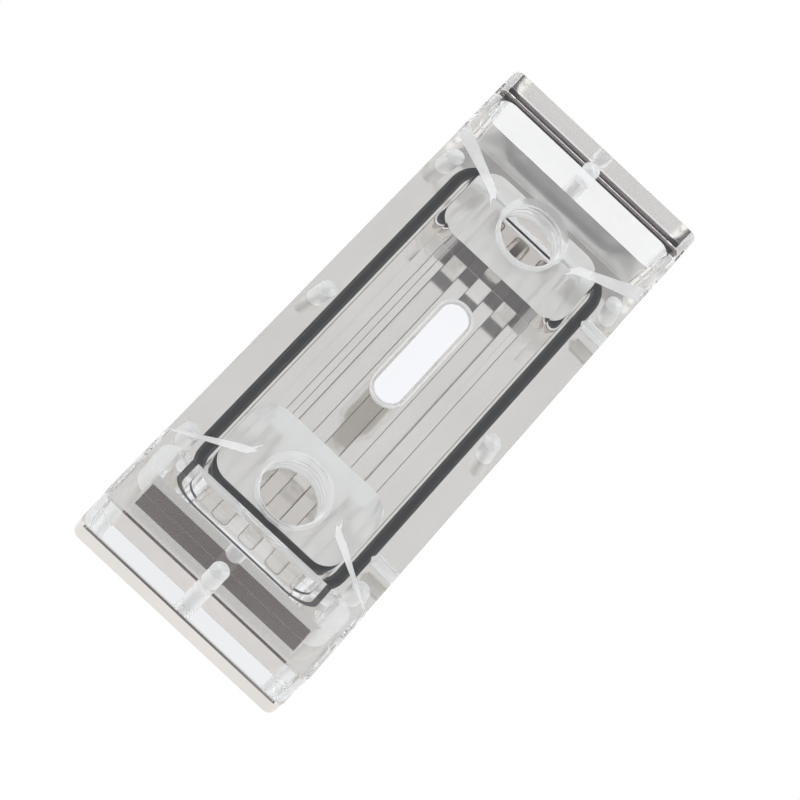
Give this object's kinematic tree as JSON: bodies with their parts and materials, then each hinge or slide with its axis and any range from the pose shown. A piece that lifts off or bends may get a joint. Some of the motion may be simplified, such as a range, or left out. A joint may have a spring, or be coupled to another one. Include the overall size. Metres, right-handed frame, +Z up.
{
  "type": "water cooling block",
  "caption": "Long flat water block: clear milled cover with threaded ports and end windows, sealed and screwed to a bright grooved metal base.",
  "frame": {"origin": "middle of the underside of the base plate", "axes": "+Z up out of the ports, Y along the block, +X towards the side with the threaded holes"},
  "size_m": [0.0448, 0.1186, 0.018],
  "materials": {
    "clear_acrylic": "polished clear, milled faces frosted",
    "plated_metal": "bright satin nickel",
    "seal_rubber": "matt",
    "inlay_white": "semi-gloss",
    "screw_steel": "satin"
  },
  "bodies": {
    "root": {"clear_cover": "clear_acrylic", "base_plate": "plated_metal", "seal_ring": "seal_rubber", "white_inlay": "inlay_white", "base_screw_1": "screw_steel", "base_screw_2": "screw_steel", "base_screw_3": "screw_steel", "base_screw_4": "screw_steel", "base_screw_5": "screw_steel", "base_screw_6": "screw_steel", "base_screw_7": "screw_steel", "base_screw_8": "screw_steel"}
  },
  "joints": []
}
